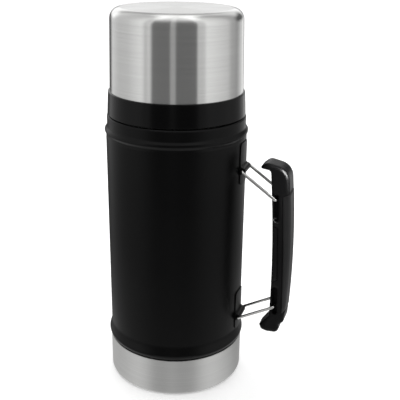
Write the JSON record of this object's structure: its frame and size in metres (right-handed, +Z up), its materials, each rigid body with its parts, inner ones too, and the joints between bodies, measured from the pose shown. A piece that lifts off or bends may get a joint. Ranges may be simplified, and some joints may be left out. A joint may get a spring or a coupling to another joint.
{
  "type": "insulated food jar",
  "caption": "Wide-mouth vacuum food jar with a screw-off cup lid, an insulated stopper and a side handle that folds in on wire bails.",
  "frame": {"origin": "centre of the base ring, on the jar's axis, in the plane it stands on", "axes": "+Z up along the jar's axis, +X towards the handle, +Y to the side"},
  "size_m": [0.1453, 0.1074, 0.285],
  "materials": {
    "black_coat": "satin powder coat",
    "brushed_steel": "fine brushed, satin",
    "bare_steel": "drawn and lightly polished",
    "bright_wire": "polished wire",
    "black_plastic": "semi-gloss moulded",
    "liner_plastic": "smooth moulded",
    "stopper_plastic": "fine moulded texture",
    "silicone": "soft matte",
    "soft_grip": "soft-touch matte",
    "foam": "rigid insulating foam"
  },
  "bodies": {
    "jar": {"outer_shell": "black_coat", "base_cup": "brushed_steel", "closing_plate": "bare_steel", "getter": "bare_steel", "inner_vessel": "bare_steel", "neck_sleeve": "bare_steel", "upper_bracket": "black_coat", "lower_bracket": "black_coat"},
    "stopper": {"stopper_body": "stopper_plastic", "stopper_foam": "foam", "stopper_gasket": "silicone", "stopper_cover": "stopper_plastic"},
    "lid": {"lid_shell": "brushed_steel", "lid_liner": "liner_plastic", "lid_foam": "foam", "lid_collar": "black_plastic"},
    "handle": {"handle_frame": "black_plastic", "handle_grip": "soft_grip", "handle_cover": "black_plastic"},
    "upper_bail": {"upper_bail": "bright_wire"},
    "lower_bail": {"lower_bail": "bright_wire"}
  },
  "joints": [
    {"name": "stopper_lift", "type": "slide", "parent": "jar", "child": "stopper", "axis": [0, 0, 1], "range_m": [0, 0.06]},
    {"name": "lid_lift", "type": "slide", "parent": "stopper", "child": "lid", "axis": [0, 0, 1], "range_m": [0, 0.08]},
    {"name": "handle_fold", "type": "slide", "parent": "jar", "child": "handle", "axis": [-1, 0, 0], "range_m": [0, 0.0115]},
    {"name": "upper_bail_hinge", "type": "hinge", "parent": "jar", "child": "upper_bail", "pos_m": [0.0534, 0, 0.1729], "axis": [0, 1, 0], "range_deg": [0, 27.5]},
    {"name": "lower_bail_hinge", "type": "hinge", "parent": "jar", "child": "lower_bail", "pos_m": [0.0534, 0, 0.053], "axis": [0, -1, 0], "range_deg": [0, 30.6]}
  ],
  "couplings": [
    {"joint": "upper_bail_hinge", "follows": "handle_fold", "rad_per_m": 41.61},
    {"joint": "lower_bail_hinge", "follows": "handle_fold", "rad_per_m": 46.248}
  ]
}
